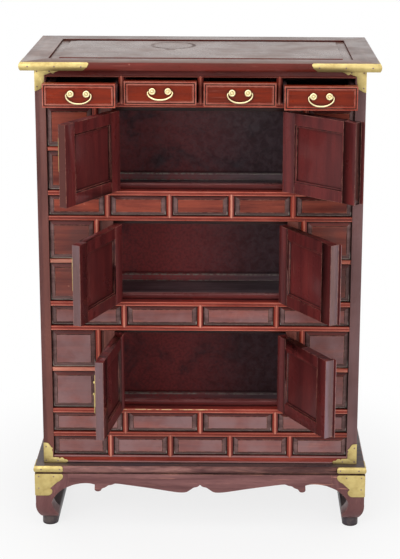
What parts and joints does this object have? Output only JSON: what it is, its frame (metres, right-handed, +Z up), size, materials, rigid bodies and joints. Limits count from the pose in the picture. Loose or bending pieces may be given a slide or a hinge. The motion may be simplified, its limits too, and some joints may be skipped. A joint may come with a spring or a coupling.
{
  "type": "three tier chest",
  "caption": "Tall wooden chest on a bracket-footed stand with a row of small drawers over three tiers of paired doors, panelled lattice front and brass corner plates.",
  "frame": {"origin": "on the floor under the middle of the case", "axes": "+Z up, the front with the doors and drawers faces -Y, +X to the right seen from the front"},
  "size_m": [0.76, 0.5572, 1.06],
  "materials": {
    "red_lacquered_wood": "aged semi-gloss lacquer",
    "weathered_top_wood": "worn matt",
    "stand_wood": "worn dark stain",
    "inner_wood": "dark unpolished",
    "pale_brass": "dull polished"
  },
  "bodies": {
    "case": {"back_panels": "inner_wood", "brass_nails": "pale_brass", "carcase_rails": "red_lacquered_wood", "corner_brass": "pale_brass", "corner_posts": "red_lacquered_wood", "door_jamb_stiles": "red_lacquered_wood", "door_stops": "inner_wood", "drawer_guides": "inner_wood", "fielded_panels": "red_lacquered_wood", "floor_boards": "inner_wood", "front_rails": "red_lacquered_wood", "jamb_hinges": "pale_brass", "lattice_uprights": "red_lacquered_wood", "side_panels": "red_lacquered_wood", "stand_aprons": "stand_wood", "stand_ledge": "stand_wood", "stand_legs": "stand_wood", "stand_runners": "stand_wood", "top_frame": "weathered_top_wood", "top_panel": "weathered_top_wood"},
    "door_upper_left": {"door_upper_left_frame": "red_lacquered_wood", "door_upper_left_panel": "red_lacquered_wood", "door_upper_left_fittings": "pale_brass"},
    "pull_upper_left": {"door_upper_left_pull": "pale_brass"},
    "door_upper_right": {"door_upper_right_frame": "red_lacquered_wood", "door_upper_right_panel": "red_lacquered_wood", "door_upper_right_fittings": "pale_brass"},
    "pull_upper_right": {"door_upper_right_pull": "pale_brass"},
    "door_middle_left": {"door_middle_left_frame": "red_lacquered_wood", "door_middle_left_panel": "red_lacquered_wood", "door_middle_left_fittings": "pale_brass"},
    "pull_middle_left": {"door_middle_left_pull": "pale_brass"},
    "door_middle_right": {"door_middle_right_frame": "red_lacquered_wood", "door_middle_right_panel": "red_lacquered_wood", "door_middle_right_fittings": "pale_brass"},
    "pull_middle_right": {"door_middle_right_pull": "pale_brass"},
    "door_lower_left": {"door_lower_left_frame": "red_lacquered_wood", "door_lower_left_panel": "red_lacquered_wood", "door_lower_left_fittings": "pale_brass"},
    "pull_lower_left": {"door_lower_left_pull": "pale_brass"},
    "door_lower_right": {"door_lower_right_frame": "red_lacquered_wood", "door_lower_right_panel": "red_lacquered_wood", "door_lower_right_fittings": "pale_brass"},
    "pull_lower_right": {"door_lower_right_pull": "pale_brass"},
    "drawer_one": {"drawer_one_front": "red_lacquered_wood", "drawer_one_box": "inner_wood", "drawer_one_pull_posts": "pale_brass"},
    "bail_one": {"drawer_one_bail": "pale_brass"},
    "drawer_two": {"drawer_two_front": "red_lacquered_wood", "drawer_two_box": "inner_wood", "drawer_two_pull_posts": "pale_brass"},
    "bail_two": {"drawer_two_bail": "pale_brass"},
    "drawer_three": {"drawer_three_front": "red_lacquered_wood", "drawer_three_box": "inner_wood", "drawer_three_pull_posts": "pale_brass"},
    "bail_three": {"drawer_three_bail": "pale_brass"},
    "drawer_four": {"drawer_four_front": "red_lacquered_wood", "drawer_four_box": "inner_wood", "drawer_four_pull_posts": "pale_brass"},
    "bail_four": {"drawer_four_bail": "pale_brass"}
  },
  "joints": [
    {"name": "door_upper_left_hinge", "type": "hinge", "parent": "case", "child": "door_upper_left", "pos_m": [-0.187, -0.1803, 0.8695], "axis": [0, 0, -1], "range_deg": [-122, 43]},
    {"name": "pull_upper_left_swing", "type": "hinge", "parent": "door_upper_left", "child": "pull_upper_left", "pos_m": [-0.27854, -0.32415, 0.8795], "axis": [0.5299, 0.848, 0], "range_deg": [0, 85]},
    {"name": "door_upper_right_hinge", "type": "hinge", "parent": "case", "child": "door_upper_right", "pos_m": [0.187, -0.1803, 0.8695], "axis": [0, 0, 1], "range_deg": [-141, 24]},
    {"name": "pull_upper_right_swing", "type": "hinge", "parent": "door_upper_right", "child": "pull_upper_right", "pos_m": [0.32038, -0.28651, 0.8795], "axis": [0.7771, -0.6293, 0], "range_deg": [0, 85]},
    {"name": "door_middle_left_hinge", "type": "hinge", "parent": "case", "child": "door_middle_left", "pos_m": [-0.187, -0.1803, 0.6205], "axis": [0, 0, -1], "range_deg": [-113.5, 51.5]},
    {"name": "pull_middle_left_swing", "type": "hinge", "parent": "door_middle_left", "child": "pull_middle_left", "pos_m": [-0.25627, -0.3361, 0.6305], "axis": [0.3987, 0.9171, 0], "range_deg": [0, 85]},
    {"name": "door_middle_right_hinge", "type": "hinge", "parent": "case", "child": "door_middle_right", "pos_m": [0.187, -0.1803, 0.6205], "axis": [0, 0, 1], "range_deg": [-123, 42]},
    {"name": "pull_middle_right_swing", "type": "hinge", "parent": "door_middle_right", "child": "pull_middle_right", "pos_m": [0.28103, -0.32253, 0.6305], "axis": [0.5446, -0.8387, 0], "range_deg": [0, 85]},
    {"name": "door_lower_left_hinge", "type": "hinge", "parent": "case", "child": "door_lower_left", "pos_m": [-0.187, -0.1803, 0.3715], "axis": [0, 0, -1], "range_deg": [-99.5, 65.5]},
    {"name": "pull_lower_left_swing", "type": "hinge", "parent": "door_lower_left", "child": "pull_lower_left", "pos_m": [-0.21652, -0.34823, 0.3815], "axis": [0.165, 0.9863, 0], "range_deg": [0, 85]},
    {"name": "door_lower_right_hinge", "type": "hinge", "parent": "case", "child": "door_lower_right", "pos_m": [0.187, -0.1803, 0.3715], "axis": [0, 0, 1], "range_deg": [-121, 44]},
    {"name": "pull_lower_right_swing", "type": "hinge", "parent": "door_lower_right", "child": "pull_lower_right", "pos_m": [0.27601, -0.32573, 0.3815], "axis": [0.515, -0.8572, 0], "range_deg": [0, 85]},
    {"name": "drawer_one_slide", "type": "slide", "parent": "case", "child": "drawer_one", "axis": [0, -1, 0], "range_m": [-0.075, 0.145]},
    {"name": "bail_one_swing", "type": "hinge", "parent": "drawer_one", "child": "bail_one", "pos_m": [-0.24994, -0.2551, 1.0025], "axis": [-1, 0, 0], "range_deg": [0, 85]},
    {"name": "drawer_two_slide", "type": "slide", "parent": "case", "child": "drawer_two", "axis": [0, -1, 0], "range_m": [-0.04, 0.18]},
    {"name": "bail_two_swing", "type": "hinge", "parent": "drawer_two", "child": "bail_two", "pos_m": [-0.08331, -0.2201, 1.0025], "axis": [-1, 0, 0], "range_deg": [-42, 43]},
    {"name": "drawer_three_slide", "type": "slide", "parent": "case", "child": "drawer_three", "axis": [0, -1, 0], "range_m": [-0.054, 0.166]},
    {"name": "bail_three_swing", "type": "hinge", "parent": "drawer_three", "child": "bail_three", "pos_m": [0.08331, -0.2341, 1.0025], "axis": [-1, 0, 0], "range_deg": [0, 85]},
    {"name": "drawer_four_slide", "type": "slide", "parent": "case", "child": "drawer_four", "axis": [0, -1, 0], "range_m": [-0.089, 0.131]},
    {"name": "bail_four_swing", "type": "hinge", "parent": "drawer_four", "child": "bail_four", "pos_m": [0.24994, -0.2691, 1.0025], "axis": [-1, 0, 0], "range_deg": [0, 85]}
  ]
}
